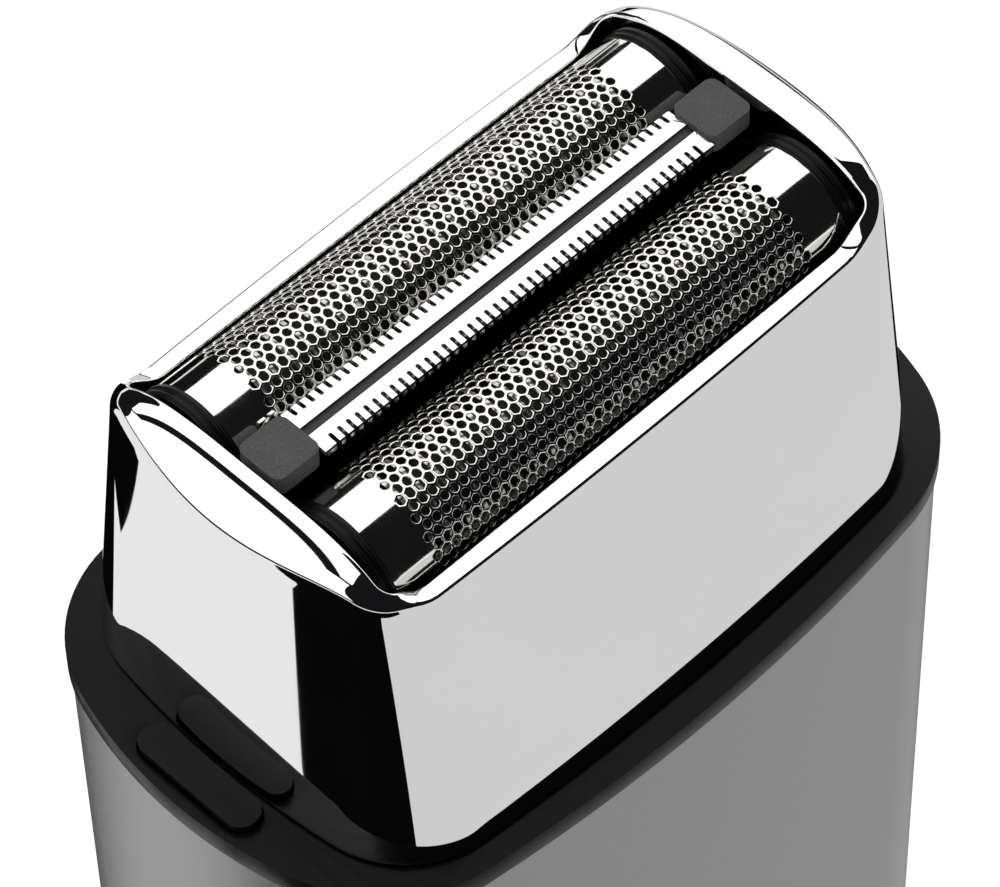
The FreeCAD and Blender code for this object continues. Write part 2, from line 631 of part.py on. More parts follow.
cas = slab(floor_bottom, flange_level, (q(24.2), q(12.05), q(2.4), q(2.8), q(0.3)))
cas_room = box(-22.1, 22.1, -14.0, 14.0, floor_top, 146.0)
open_f = box(-19.5, 19.5, -11.4, -1.75, 133.0, 138.0)
open_r = box(-19.5, 19.5, 1.75, 11.4, 133.0, 138.0)
tail_slot = box(-3.6, 3.6, -1.25, 1.25, 133.0, 138.0)
node(cut(cas, cas_room, open_f, open_r, tail_slot), "foil_cassette")
for name, s in (("left", -1.0), ("right", 1.0)):
    c, d = (-24.0, -22.6) if s < 0 else (22.6, 24.0)
    node(box(c, d, -3.2, 3.2, 133.4, 134.2), "latch_catch_" + name)

for name, s in (("front", -1.0), ("rear", 1.0)):
    yc = foil_pitch * s
    ff = new_body("foil")
    sk = sketch_on(ff, "YZ_Plane", -foil_half_length)
    ro, ri, y0, z0, zl = foil_radius.v, (foil_radius - foil_gauge).v, yc.v, axis_level.v, skirt_bottom.v
    sk.addGeometry(Part.ArcOfCircle(Part.Circle(Vector(y0, z0, 0), Vector(0, 0, 1), ro), 0.0, math.pi), False)
    sk.addGeometry(Part.ArcOfCircle(Part.Circle(Vector(y0, z0, 0), Vector(0, 0, 1), ri), 0.0, math.pi), False)
    for sg in (1, -1):
        p = [Vector(y0 + sg * ro, z0, 0), Vector(y0 + sg * ro, zl, 0), Vector(y0 + sg * ri, zl, 0), Vector(y0 + sg * ri, z0, 0)]
        for i in range(3):
            sk.addGeometry(Part.LineSegment(p[i], p[i + 1]), False)
    pad(ff, sk, foil_half_length * 2.0)
    node(ff, "foil_" + name)

    ends = []
    for sx in (-1.0, 1.0):
        x0 = foil_half_length if sx > 0 else -(foil_half_length + arch_plate)
        disc = common(cyl(foil_radius + 0.08, arch_plate, x0, yc, axis_level, "x"),
                      box(x0, x0 + arch_plate, yc - 6.0, yc + 6.0, axis_level, 151.0))
        cheek = box(x0, x0 + arch_plate, yc - foil_radius - 0.08, yc + foil_radius + 0.08, carrier_bottom, axis_level)
        if sx > 0:
            foot = box(19.6, foil_half_length + arch_plate, yc - 4.6, yc + 4.6, carrier_bottom, 140.4)
        else:
            foot = box(-(foil_half_length + arch_plate), -19.6, yc - 4.6, yc + 4.6, carrier_bottom, 140.4)
        ends += [disc, cheek, foot]
    rail_o = box(-foil_half_length, foil_half_length, yc - foil_radius - 0.35, yc - foil_radius, 139.2, 141.6)
    rail_i = box(-foil_half_length, foil_half_length, yc + foil_radius, yc + foil_radius + 0.35, 139.2, 141.6)
    node(fuse(*(ends + [rail_o, rail_i])), "foil_carrier_" + name)
    node(spring(floor_top, carrier_bottom, [(-20.6, yc), (20.6, yc)], 0.9, 0.12, 3.5), "foil_springs_" + name)

# ------------------------------------------------------------------- trimmer
bed_top = total_height - cap_height
bed = box(-21.3, 21.3, -1.0, 1.0, carrier_bottom, bed_top)
bed_slot = box(-2.9, 2.9, -0.75, 0.75, 138.0, 149.0)
bed_notch = box(-16.8, 16.8, -1.5, 1.5, bed_top - 0.0, 149.0)
bed_window_l = box(-16.0, -4.5, -1.5, 1.5, 140.6, 146.8)
bed_window_r = box(4.5, 16.0, -1.5, 1.5, 140.6, 146.8)
node(cut(bed, bed_slot, bed_window_l, bed_window_r), "trimmer_bed")
for name, s in (("left", -1.0), ("right", 1.0)):
    cb = new_body("cap")
    lev = bed_top
    sk = sketch_on(cb, "XY_Plane", lev)
    mid = (cap_inner + cap_outer) / 2.0 * s
    pill_into(sk, mid, 0.0, (cap_outer - cap_inner) / 2.0, cap_half_width, 0.7)
    pad(cb, sk, cap_height)
    node(cb, "trimmer_cap_" + name)

comb_low = comb_top - 0.8
comb_pts = [(-comb_half_width, comb_low), (-comb_half_width, comb_top - 0.45), (-(comb_half_width - 0.45), comb_top),
            (-0.3, comb_top), (-0.18, comb_top - 0.16), (0.18, comb_top - 0.16), (0.3, comb_top),
            (comb_half_width - 0.45, comb_top), (comb_half_width, comb_top - 0.45), (comb_half_width, comb_low),
            (comb_half_width - 0.3, comb_low), (comb_half_width - 0.3, comb_top - 0.5),
            (comb_half_width - 0.6, comb_top - comb_gauge), (-(comb_half_width - 0.6), comb_top - comb_gauge),
            (-(comb_half_width - 0.3), comb_top - 0.5), (-(comb_half_width - 0.3), comb_low)]
cc = new_body("comb")
csk = sketch_on(cc, "YZ_Plane", -cap_inner)
poly_into(csk, comb_pts)
pad(cc, csk, cap_inner * 2.0)
ssk = sketch_on(cc, "XY_Plane", 151.0)
x0 = -(slot_pitch.v * (slot_count.v - 1.0) / 2.0)
hw = slot_width.v / 2.0
for sg in (1, -1):
    yr, ye = slot_root.v + hw, comb_half_width.v + 0.5
    c = Part.Circle(Vector(x0, sg * yr, 0), Vector(0, 0, 1), hw)
    if sg > 0:
        ssk.addGeometry(Part.ArcOfCircle(c, math.pi, 2 * math.pi), False)
    else:
        ssk.addGeometry(Part.ArcOfCircle(c, 0.0, math.pi), False)
    a, b = Vector(x0 - hw, sg * yr, 0), Vector(x0 + hw, sg * yr, 0)
    c2, d2 = Vector(x0 + hw, sg * ye, 0), Vector(x0 - hw, sg * ye, 0)
    ssk.addGeometry(Part.LineSegment(b, c2), False)
    ssk.addGeometry(Part.LineSegment(c2, d2), False)
    ssk.addGeometry(Part.LineSegment(d2, a), False)
doc.recompute()
pk = cc.newObject("PartDesign::Pocket", uid("pocket"))
pk.Profile = ssk
pk.Type = 0
bind(pk, "Length", q(3.0))
ssk.Visibility = False
doc.recompute()
pat = cc.newObject("PartDesign::LinearPattern", uid("pattern"))
pat.Originals = [pk]
pat.Direction = (role(cc, "X_Axis"), [""])
bind(pat, "Length", slot_pitch * (slot_count - 1.0))
pat.Occurrences = int(slot_count.v)
pat.setExpression("Occurrences", "dims.slot_count")
cc.Tip = pat
node(cc, "trimmer_comb")

blade_plate = box(-16.3, 16.3, -1.55, 1.55, bed_top + 0.2, comb_top - comb_gauge - 0.12)
tail = box(-1.2, 1.2, -0.45, 0.45, 134.0, bed_top + 0.3)
node(fuse(blade_plate, tail), "trimmer_blade")
node(spring(floor_top, carrier_bottom, [(-20.7, 0.0), (20.7, 0.0)], 0.8, 0.12, 3.5), "trimmer_springs")

for name, s in (("left", -1.0), ("right", 1.0)):
    node(spring(117.4, 119.4, [(28.0 * s, 0.0)], 0.55, 0.1, 4), "release_spring_" + name)

doc.recompute()

# -------------------------------------------------------------------- output
bad = []
for o in doc.Objects:
    st = [str(t) for t in o.State]
    if "Invalid" in st or "Error" in st:
        bad.append("%s (%s) %s" % (o.Name, o.Label, st))
for name in sorted(nodes):
    sh = nodes[name].Shape
    if sh.isNull() or not sh.isValid() or len(sh.Solids) == 0:
        bad.append("shape of %s: null %s valid %s solids %d" % (
            name, sh.isNull(), (not sh.isNull()) and sh.isValid(), 0 if sh.isNull() else len(sh.Solids)))
if bad:
    raise RuntimeError("; ".join(bad))

os.makedirs("parts", exist_ok=True)
for old in os.listdir("parts"):
    if old.endswith(".step") and old[:-5] not in nodes:
        os.remove(os.path.join("parts", old))
for name in sorted(nodes):
    nodes[name].Shape.exportStep(os.path.join("parts", name + ".step"))
    bb = nodes[name].Shape.BoundBox
    print("%-24s solids %d vol %9.3f  x %.2f %.2f  y %.2f %.2f  z %.2f %.2f" % (
        name, len(nodes[name].Shape.Solids), nodes[name].Shape.Volume,
        bb.XMin, bb.XMax, bb.YMin, bb.YMax, bb.ZMin, bb.ZMax))
print("nodes", len(nodes))
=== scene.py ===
import bpy
import math
import json
import numpy as np
import mathutils.geometry
from mathutils import Vector, Matrix

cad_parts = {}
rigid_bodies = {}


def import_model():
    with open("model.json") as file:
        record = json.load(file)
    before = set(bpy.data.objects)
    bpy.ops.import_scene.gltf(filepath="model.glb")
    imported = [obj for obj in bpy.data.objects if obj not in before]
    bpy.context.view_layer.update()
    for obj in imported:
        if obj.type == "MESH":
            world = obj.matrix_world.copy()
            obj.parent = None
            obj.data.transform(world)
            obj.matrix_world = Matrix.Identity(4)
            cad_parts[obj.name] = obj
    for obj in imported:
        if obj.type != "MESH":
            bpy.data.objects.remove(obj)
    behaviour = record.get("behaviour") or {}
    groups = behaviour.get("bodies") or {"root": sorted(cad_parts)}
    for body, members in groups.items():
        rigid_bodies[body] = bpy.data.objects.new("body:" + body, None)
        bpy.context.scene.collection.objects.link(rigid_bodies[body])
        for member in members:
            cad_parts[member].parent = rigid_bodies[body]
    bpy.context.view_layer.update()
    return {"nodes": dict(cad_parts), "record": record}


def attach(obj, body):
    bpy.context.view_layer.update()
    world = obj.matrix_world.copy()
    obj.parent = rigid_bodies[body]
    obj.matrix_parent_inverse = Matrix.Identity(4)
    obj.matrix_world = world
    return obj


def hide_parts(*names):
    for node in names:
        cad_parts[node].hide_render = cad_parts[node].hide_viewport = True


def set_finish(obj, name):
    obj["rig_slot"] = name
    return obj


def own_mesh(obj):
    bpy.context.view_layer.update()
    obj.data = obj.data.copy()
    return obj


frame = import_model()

nodes = frame["nodes"]
scene = bpy.context.scene
K = 0.001  # millimetres to metres


# ------------------------------------------------------------------ mesh tools
def mesh_piece(name, verts, faces, smooth=True, normals=None):
    """verts in millimetres; normals, if given, one per face corner."""
    me = bpy.data.meshes.new(name)
    v = np.asarray(verts, float) * K
    me.from_pydata([tuple(p) for p in v], [], [tuple(int(i) for i in f) for f in faces])
    me.validate(clean_customdata=False)
    if smooth:
        me.polygons.foreach_set("use_smooth", [True] * len(me.polygons))
    me.update()
    if normals is not None and len(normals) == len(me.loops):
        me.normals_split_custom_set([tuple(n) for n in normals])
    o = bpy.data.objects.new(name, me)
    scene.collection.objects.link(o)
    return o


def ring_arcs(L, W, R, bx, by):
    """Rounded rectangle with four bulging sides, as eight tangent arcs."""
    rx = (W * W + bx * bx) / (2 * bx)
    ry = (L * L + by * by) / (2 * by)
    cx, cy = L - rx, W - ry
    d = math.hypot(cx, cy)
    a, b = rx - R, ry - R
    k = (a * a - b * b + d * d) / (2 * d)
    hh = math.sqrt(max(a * a - k * k, 0.0))
    ux, uy = -cx / d, cy / d
    px, py = cx + k * ux, k * uy
    c1 = (px - hh * uy, py + hh * ux)
    c2 = (px + hh * uy, py - hh * ux)
    u, v = c1 if (c1[0] + c1[1]) > (c2[0] + c2[1]) else c2
    t1 = math.atan2(v, u - cx)
    t2 = math.atan2(v - cy, u)
    out = []
    for s, base in ((0, 0.0), (1, math.pi)):
        sg = 1 if s == 0 else -1
        out.append(((sg * cx, 0.0), rx, base - t1, base + t1))
        out.append(((sg * u, sg * v), R, base + t1, base + t2))
        out.append(((0.0, sg * cy), ry, base + t2, base + math.pi - t2))
        out.append(((-sg * u, sg * v), R, base + math.pi - t2, base + math.pi - t1))
    return out


COUNTS = (44, 30, 70, 30)


def ring(L, W, R, bx, by, counts=COUNTS):
    pts = []
    for i, ((cx, cy), r, a0, a1) in enumerate(ring_arcs(L, W, R, bx, by)):
        n = counts[i % 4]
        for j in range(n):
            a = a0 + (a1 - a0) * j / n
            pts.append((cx + r * math.cos(a), cy + r * math.sin(a)))
    return np.array(pts)


def band(n_ring, n_rows, close_rows=False, offset=0):
    """Quads joining successive rows of n_ring points each."""
    f = []
    rows = n_rows if close_rows else n_rows - 1
    for r in range(rows):
        a, b = offset + r * n_ring, offset + ((r + 1) % n_rows) * n_ring
        for i in range(n_ring):
            j = (i + 1) % n_ring
            f.append((a + i, a + j, b + j, b + i))
    return f


def smoothstep(t):
    t = np.clip(t, 0.0, 1.0)
    return t * t * (3 - 2 * t)


# ------------------------------------------------------------------ chrome head
Z0, ZRIM, ZTOP = 122.9, 145.97, 151.2
MOUTH = (22.0, 11.95, 0.9)
RIM_HALF = 26.05


def shell_ring(z, inset=0.0):
    t = (z - Z0) / (ZRIM - Z0)
    return ring(26.95 + (RIM_HALF - 26.95) * t - inset, 17.8 + (13.45 - 17.8) * t - inset,
                8.0 + (3.4 - 8.0) * t - inset, 2.2 + (2.9 - 2.2) * t, 1.7 - 1.08 * t)


def rim_height(x, y):
    a = np.abs(x)
    run = smoothstep((a - 18.6) / (MOUTH[0] - 18.6))
    fall = np.maximum(a - MOUTH[0], 0.0) / (RIM_HALF - MOUTH[0])
    across = 1.0 - np.minimum(np.abs(y) / 13.9, 1.0) ** 4
    return ZRIM + 4.3 * run * (1.0 - 0.45 * fall ** 1.6) * across


def build_head_shell():
    A, B = shell_ring(Z0), shell_ring(ZTOP)
    n = len(A)

    def out_at(z):
        t = ((z - Z0) / (ZTOP - Z0))[:, None]
        return A + (B - A) * t

    Ai, Bi = shell_ring(Z0 - 1.0, 1.3), shell_ring(144.8, 1.3)

    def in_at(z):
        t = ((z - (Z0 - 1.0)) / (144.8 - (Z0 - 1.0)))[:, None]
        return Ai + (Bi - Ai) * t

    M = ring(MOUTH[0], MOUTH[1], MOUTH[2], 0.06, 0.06)
    zb = np.full(n, Z0)
    zt = np.full(n, ZRIM)
    for _ in range(6):
        p = out_at(zt)
        zt = rim_height(p[:, 0], p[:, 1])
    edge = out_at(zt)
    endness = smoothstep((np.abs(edge[:, 0]) - 20.5) / 3.5)
    rf = 0.26 + 0.62 * endness
    rows = []
    lip = 0.16

    def add(xy, z):
        rows.append(np.c_[xy, z])

    # bottom lip, wall, rounded top edge
    add(out_at(zb) * 1.0 - (out_at(zb) - in_at(zb)) * 0.12, zb)
    add(out_at(zb + 0.05) - (out_at(zb) - in_at(zb)) * 0.035, zb + 0.04)
    for v in np.r_[0.0, np.linspace(0.012, 1.0, 34)]:
        z = (zb + lip) + ((zt - rf) - (zb + lip)) * v
        add(out_at(z), z)
    P0 = np.c_[out_at(zt - rf), zt - rf]
    P1 = np.c_[edge, zt]
    d = M - edge
    ln = np.linalg.norm(d, axis=1)[:, None]
    d = d / ln
    p2 = edge + d * rf[:, None]
    P2 = np.c_[p2, rim_height(p2[:, 0], p2[:, 1])]
    for s in np.linspace(0, 1, 11)[1:]:
        rows.append(P0 * (1 - s) ** 2 + P1 * 2 * s * (1 - s) + P2 * s * s)
    # top face, from the rounded edge to just before the mouth
    ri = 0.14 + 0.16 * endness
    q0 = M - d * ri[:, None]
    for s in np.linspace(0, 1, 15)[1:]:
        xy = p2 + (q0 - p2) * s
        add(xy, rim_height(xy[:, 0], xy[:, 1]))
    Q0 = rows[-1]
    zq = rim_height(M[:, 0], M[:, 1])
    Q1 = np.c_[M, zq]
    Q2 = np.c_[M, zq - ri]
    for s in np.linspace(0, 1, 6)[1:]:
        rows.append(Q0 * (1 - s) ** 2 + Q1 * 2 * s * (1 - s) + Q2 * s * s)
    for z in np.linspace(0, 1, 7)[1:]:
        zz = (zq - ri) + (144.8 - (zq - ri)) * z
        rows.append(np.c_[M, zz])
    add(M + (in_at(np.full(n, 144.8)) - M) * 0.03, np.full(n, 144.78))
    add(in_at(np.full(n, 144.8)) - (in_at(np.full(n, 144.8)) - M) * 0.03, np.full(n, 144.78))
    for v in np.linspace(1.0, 0.0, 12):
        z = zb + 0.05 + (144.7 - zb - 0.05) * v
        add(in_at(z), z)
    add(in_at(zb) + (out_at(zb) - in_at(zb)) * 0.06, zb)
    verts = np.vstack(rows)
    faces = band(n, len(rows), close_rows=True)
    return mesh_piece("head_shell_polished", verts, faces)


shell = build_head_shell()
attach(shell, "head")
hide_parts("head_shell")
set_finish(shell, "chrome")


# ------------------------------------------------------------------ foils
FOIL_R, FOIL_T, FOIL_Y, CROWN = 4.95, 0.07, 6.6, 149.57
AXIS_Z = CROWN - FOIL_R
HALF_ARC = math.pi * FOIL_R / 2
FOIL_X = 20.4
PITCH = 0.84
HOLE_FLAT = 0.378 * PITCH     # half the width across the flats of a hole
RIM = 0.03                    # rounding round each hole


def bend(x, s, r):
    """Sheet coordinates to space: a half round with straight skirts."""
    sa = np.clip(s, -HALF_ARC, HALF_ARC)
    a = sa / FOIL_R
    over = s - sa
    y = r * np.sin(a)
    z = AXIS_Z + r * np.cos(a) - np.abs(over)
    return np.c_[x, y, z]


def build_foil(name, yc):
    sk = HALF_ARC + (AXIS_Z - 140.9)
    row = PITCH * math.sqrt(3) / 2
    n_rows = int(math.ceil(sk / row)) + 1
    n_cols = int(math.ceil(FOIL_X / PITCH)) + 1
    Rv = PITCH / math.sqrt(3)
    V, F, kind = [], [], []
    index = {}

    def vid(x, s):
        x = min(max(x, -FOIL_X), FOIL_X)
        s = min(max(s, -sk), sk)
        key = (round(x * 2000), round(s * 2000))
        if key not in index:
            index[key] = len(V)
            V.append((x, s))
        return index[key]

    hv = (HOLE_FLAT + RIM) / (PITCH / 2) * Rv
    holes = []
    for j in range(-n_rows, n_rows + 1):
        sc = j * row
        for i in range(-n_cols, n_cols + 1):
            xc = i * PITCH + (PITCH / 2 if j % 2 else 0.0)
            if abs(xc) > FOIL_X + PITCH / 2 + 0.01 or abs(sc) > sk + Rv:
                continue
            outer = [(xc + Rv * math.sin(math.radians(60 * k)), sc + Rv * math.cos(math.radians(60 * k))) for k in range(6)]
            ids = [vid(*p) for p in outer]
            limit = 17.25 if (j % 2 == 0) else 17.25 - PITCH * 0.5
            open_cell = abs(xc) <= limit + 0.05 and abs(sc) <= HALF_ARC * 0.965
            if not open_cell:
                uniq = []
                for q_ in ids:
                    if q_ not in uniq:
                        uniq.append(q_)
                if len(uniq) < 3:
                    continue
                cx = min(max(xc, -FOIL_X), FOIL_X)
                cs = min(max(sc, -sk), sk)
                inside = abs(xc) < FOIL_X and abs(sc) < sk
                if inside:
                    c = vid(cx, cs)
                    for k in range(len(uniq)):
                        a, b = uniq[k], uniq[(k + 1) % len(uniq)]
                        if c not in (a, b):
                            F.append((c, a, b))
                else:
                    for k in range(1, len(uniq) - 1):
                        F.append((uniq[0], uniq[k], uniq[k + 1]))
                continue
            inner = []
            for k in range(6):
                a, b = math.radians(60 * k), math.radians(60 * (k + 1))
                pa = (math.sin(a), math.cos(a))
                pb = (math.sin(b), math.cos(b))
                for w in (0.20, 0.80):
                    inner.append((xc + hv * (pa[0] * (1 - w) + pb[0] * w), sc + hv * (pa[1] * (1 - w) + pb[1] * w)))
            iv = []
            for p in inner:
                V.append(p)
                iv.append(len(V) - 1)
            for k in range(6):
                o0, o1 = ids[k], ids[(k + 1) % 6]
                i0, i1 = iv[2 * k], iv[2 * k + 1]
                prev = iv[2 * k - 1]
                F.append((o0, o1, i1, i0))
                F.append((o0, i0, prev))
            holes.append(iv)
    V = np.array(V)
    nv = len(V)
    outer = bend(V[:, 0], V[:, 1], FOIL_R)
    inner = bend(V[:, 0], V[:, 1], FOIL_R - FOIL_T)
    verts = np.vstack([outer, inner, outer, inner])
    ang = np.clip(V[:, 1], -HALF_ARC, HALF_ARC) / FOIL_R
    rad = np.c_[np.zeros(nv), np.sin(ang), np.cos(ang)]
    faces = []
    for f in F:
        a, b, c = outer[f[0]], outer[f[1]], outer[f[2]]
        nrm = np.cross(b - a, c - a)
        if np.dot(nrm, rad[f[0]]) < 0:
            f = tuple(reversed(f))
        if np.linalg.norm(nrm) < 1e-9:
            continue
        faces.append(f)
        g = tuple(reversed([i + nv for i in f]))
        faces.append(g)
    lip = []
    shrink = HOLE_FLAT / (HOLE_FLAT + RIM)
    for iv in holes:
        p = V[iv]
        c = p.mean(axis=0)
        lip.append(c + (p - c) * shrink)
    lip_flat = np.vstack(lip)
    nl = len(lip_flat)
    lip_out = bend(lip_flat[:, 0], lip_flat[:, 1], FOIL_R - RIM)
    lip_in = bend(lip_flat[:, 0], lip_flat[:, 1], FOIL_R - FOIL_T)
    e0 = len(verts)
    verts = np.vstack([verts, lip_out, lip_out, lip_in])
    start = 0
    for iv in holes:
        m = len(iv)
        ring_a = [e0 + start + k for k in range(m)]
        ring_b = [e0 + nl + start + k for k in range(m)]
        ring_c = [e0 + 2 * nl + start + k for k in range(m)]
        start += m
        cen = outer[iv].mean(axis=0)
        for k in range(m):
            a, b = iv[k], iv[(k + 1) % m]
            n_ = (k + 1) % m
            rim = (a, b, ring_a[n_], ring_a[k])
            wall = (ring_b[k], ring_b[n_], ring_c[n_], ring_c[k])
            under = (ring_c[k], ring_c[n_], b + nv, a + nv)
            mid = (outer[a] + outer[b]) / 2
            nrm = np.cross(outer[b] - outer[a], rad[a])
            nrm /= max(np.linalg.norm(nrm), 1e-12)
            if np.dot(nrm, cen - mid) > 0:
                faces += [rim[::-1], wall[::-1], under[::-1]]
            else:
                faces += [rim, wall, under]
    used = sorted({i for f in faces for i in f})
    renum = {i: k for k, i in enumerate(used)}
    faces = [tuple(renum[i] for i in f) for f in faces]
    return mesh_piece(name, verts[used] + np.array([0, yc, 0]), faces)


for side, s in (("front", -1), ("rear", 1)):
    o = build_foil("foil_sheet_" + side, s * FOIL_Y)
    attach(o, "foil_unit_" + side)
    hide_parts("foil_" + side)
    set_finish(o, "foil_steel")


def build_ridges(name, yc):
    """Twin moulded ridges over each end arch of a foil carrier."""
    prof = []
    for x0 in (20.52, 21.06):
        prof.append([(x0, 5.0), (x0 + 0.06, 5.075), (x0 + 0.12, 5.10), (x0 + 0.24, 5.10), (x0 + 0.33, 5.07), (x0 + 0.38, 5.0)])
    V, F = [], []
    steps = 64
    for sx in (-1, 1):
        for pr in prof:
            base = len(V)
            m = len(pr)
            for k in range(steps + 1):
                a = math.pi * k / steps
                for x, r in pr:
                    V.append((sx * x, yc + r * math.cos(a), AXIS_Z + r * math.sin(a)))
            for k in range(steps):
                for j in range(m - 1):
                    q0 = base + k * m + j
                    f = (q0, q0 + 1, q0 + m + 1, q0 + m)
                    F.append(f if sx < 0 else tuple(reversed(f)))
                q0 = base + k * m
                f = (q0, q0 + m, q0 + m + m - 1, q0 + m - 1)
                F.append(f if sx < 0 else tuple(reversed(f)))
    return mesh_piece(name, V, F)


for side, s in (("front", -1), ("rear", 1)):
    o = build_ridges("carrier_ridges_" + side, s * FOIL_Y)
    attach(o, "foil_unit_" + side)
    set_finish(o, "black_satin")


def build_comb():
    """Long-hair trimmer comb: two toothed flanges either side of a groove."""
    pitch, half_slot, x_end = 0.765, 0.15, 17.55
    top, low = 149.7, 149.32
    V, F = [], []

    def half(sy, y_in, y_tip):
        plan = [(x_end, y_in), (-x_end, y_in), (-x_end, y_tip - 0.1), (-x_end + 0.1, y_tip)]
        n = 22
        for i in range(-n, n + 1):
            xc = i * pitch + (0.0 if sy > 0 else pitch / 2)
            if abs(xc) > x_end - 0.5:
                continue
            plan.append((xc - half_slot - 0.05, y_tip))
            plan.append((xc - half_slot, y_tip - 0.12))
            for k in range(7):
                a = math.pi * k / 6
                plan.append((xc - half_slot * math.cos(a), 1.38 - half_slot * math.sin(a)))
            plan.append((xc + half_slot, y_tip - 0.12))
            plan.append((xc + half_slot + 0.05, y_tip))
        plan += [(x_end - 0.1, y_tip), (x_end, y_tip - 0.1)]
        tris = mathutils.geometry.tessellate_polygon([[Vector((x, y, 0.0)) for x, y in plan]])
        m, base = len(plan), len(V)
        for z in (top, low):
            for x, y in plan:
                drop = 0.16 * max((y - 1.75) / (y_tip - 1.75), 0.0) ** 2
                V.append((x, sy * y, z - drop))
        for t in tris:
            pts = [V[base + i] for i in t]
            up = (pts[1][0] - pts[0][0]) * (pts[2][1] - pts[0][1]) - (pts[1][1] - pts[0][1]) * (pts[2][0] - pts[0][0])
            t = tuple(t) if up > 0 else tuple(reversed(t))
            F.append(tuple(base + i for i in t))
            F.append(tuple(base + m + i for i in reversed(t)))
        turn = sum(plan[i][0] * plan[(i + 1) % m][1] - plan[(i + 1) % m][0] * plan[i][1] for i in range(m)) * sy
        for i in range(m):
            j = (i + 1) % m
            q = (base + i, base + m + i, base + m + j, base + j)
            F.append(q if turn > 0 else tuple(reversed(q)))

    half(1, 0.34, 2.1)
    half(-1, 0.45, 2.2)
    return mesh_piece("comb_flanges", V, F, smooth=False)


# Strip filling the comb's groove: its dark plastic is painted shade standing in for the shade in the steel groove.
def build_groove_painted_shade():
    prof = [(-0.50, 149.60), (-0.40, 149.50), (-0.25, 149.45), (0.15, 149.45), (0.30, 149.50), (0.39, 149.60),
            (0.39, 149.34), (-0.50, 149.34)]
    V = [(x, y, z) for x in (-17.5, 17.5) for y, z in prof]
    m = len(prof)
    F = [(i, i + m, (i + 1) % m + m, (i + 1) % m) for i in range(m)]
    F += [tuple(range(m)), tuple(reversed(range(m, 2 * m)))]
    return mesh_piece("comb_groove", V, F, smooth=False)


o = build_comb()
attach(o, "trimmer")
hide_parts("trimmer_comb")
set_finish(o, "comb_steel")
o = build_groove_painted_shade()
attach(o, "trimmer")
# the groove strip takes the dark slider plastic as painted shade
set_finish(o, "slider_plastic")


# ------------------------------------------------------------------ springs
def coil(node, body):
    """A copy of a coil spring, smooth shaded, on the given body, in spring steel."""
    src = nodes[node]
    me = src.data.copy()
    me.materials.clear()
    me.polygons.foreach_set("use_smooth", [True] * len(me.polygons))
    o = bpy.data.objects.new(node.replace("spring", "coil"), me)
    scene.collection.objects.link(o)
    o.matrix_world = src.matrix_world.copy()
    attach(o, body)
    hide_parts(node)
    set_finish(o, "spring_steel")
    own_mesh(o)


for side in ("left", "right"):
    coil("release_spring_" + side, "body")
for side in ("front", "rear"):
    coil("foil_springs_" + side, "head")
    coil("cutter_spring_" + side, "bridge")
coil("trimmer_springs", "head")


# ------------------------------------------------------------------ materials
def tree(mat):
    mat.use_nodes = True
    nt = mat.node_tree
    b = nt.nodes.get("Principled BSDF")
    if b is None:
        nt.nodes.clear()
        b = nt.nodes.new("ShaderNodeBsdfPrincipled")
        out = nt.nodes.new("ShaderNodeOutputMaterial")
        nt.links.new(b.outputs[0], out.inputs[0])
    return nt, b


def make_mat(name, base, rough, metal=0.0, vary=0.12, scale=900.0, rvary=0.08, bump=0.0, bscale=3000.0,
             stretch=(1, 1, 1), specular=None, coat=0.0, coat_rough=0.1, bdist=0.00004, detail=4.0):
    mat = bpy.data.materials.new(name)
    nt, b = tree(mat)
    N, L = nt.nodes, nt.links
    tc = N.new("ShaderNodeTexCoord")
    mp = N.new("ShaderNodeMapping")
    mp.inputs["Scale"].default_value = stretch
    L.new(tc.outputs["Object"], mp.inputs["Vector"])
    nz = N.new("ShaderNodeTexNoise")
    nz.inputs["Scale"].default_value = scale
    nz.inputs["Detail"].default_value = detail
    L.new(mp.outputs["Vector"], nz.inputs["Vector"])
    cr = N.new("ShaderNodeValToRGB")
    lo = [max(c * (1 - vary), 0.0) for c in base]
    hi = [min(c * (1 + vary), 1.0) for c in base]
    cr.color_ramp.elements[0].position = 0.3
    cr.color_ramp.elements[1].position = 0.7
    cr.color_ramp.elements[0].color = (*lo, 1)
    cr.color_ramp.elements[1].color = (*hi, 1)
    L.new(nz.outputs["Fac"], cr.inputs["Fac"])
    L.new(cr.outputs["Color"], b.inputs["Base Color"])
    mr = N.new("ShaderNodeMapRange")
    mr.inputs["From Min"].default_value = 0.3
    mr.inputs["From Max"].default_value = 0.7
    mr.inputs["To Min"].default_value = max(rough - rvary * 0.5, 0.0)
    mr.inputs["To Max"].default_value = min(rough + rvary * 0.5, 1.0)
    L.new(nz.outputs["Fac"], mr.inputs["Value"])
    L.new(mr.outputs["Result"], b.inputs["Roughness"])
    b.inputs["Metallic"].default_value = metal
    if specular is not None:
        b.inputs["Specular IOR Level"].default_value = specular
    if coat:
        b.inputs["Coat Weight"].default_value = coat
        b.inputs["Coat Roughness"].default_value = coat_rough
    if bump:
        n2 = N.new("ShaderNodeTexNoise")
        n2.inputs["Scale"].default_value = bscale
        n2.inputs["Detail"].default_value = 3.0
        L.new(mp.outputs["Vector"], n2.inputs["Vector"])
        bp = N.new("ShaderNodeBump")
        bp.inputs["Strength"].default_value = bump
        bp.inputs["Distance"].default_value = bdist
        L.new(n2.outputs["Fac"], bp.inputs["Height"])
        L.new(bp.outputs["Normal"], b.inputs["Normal"])
    return mat


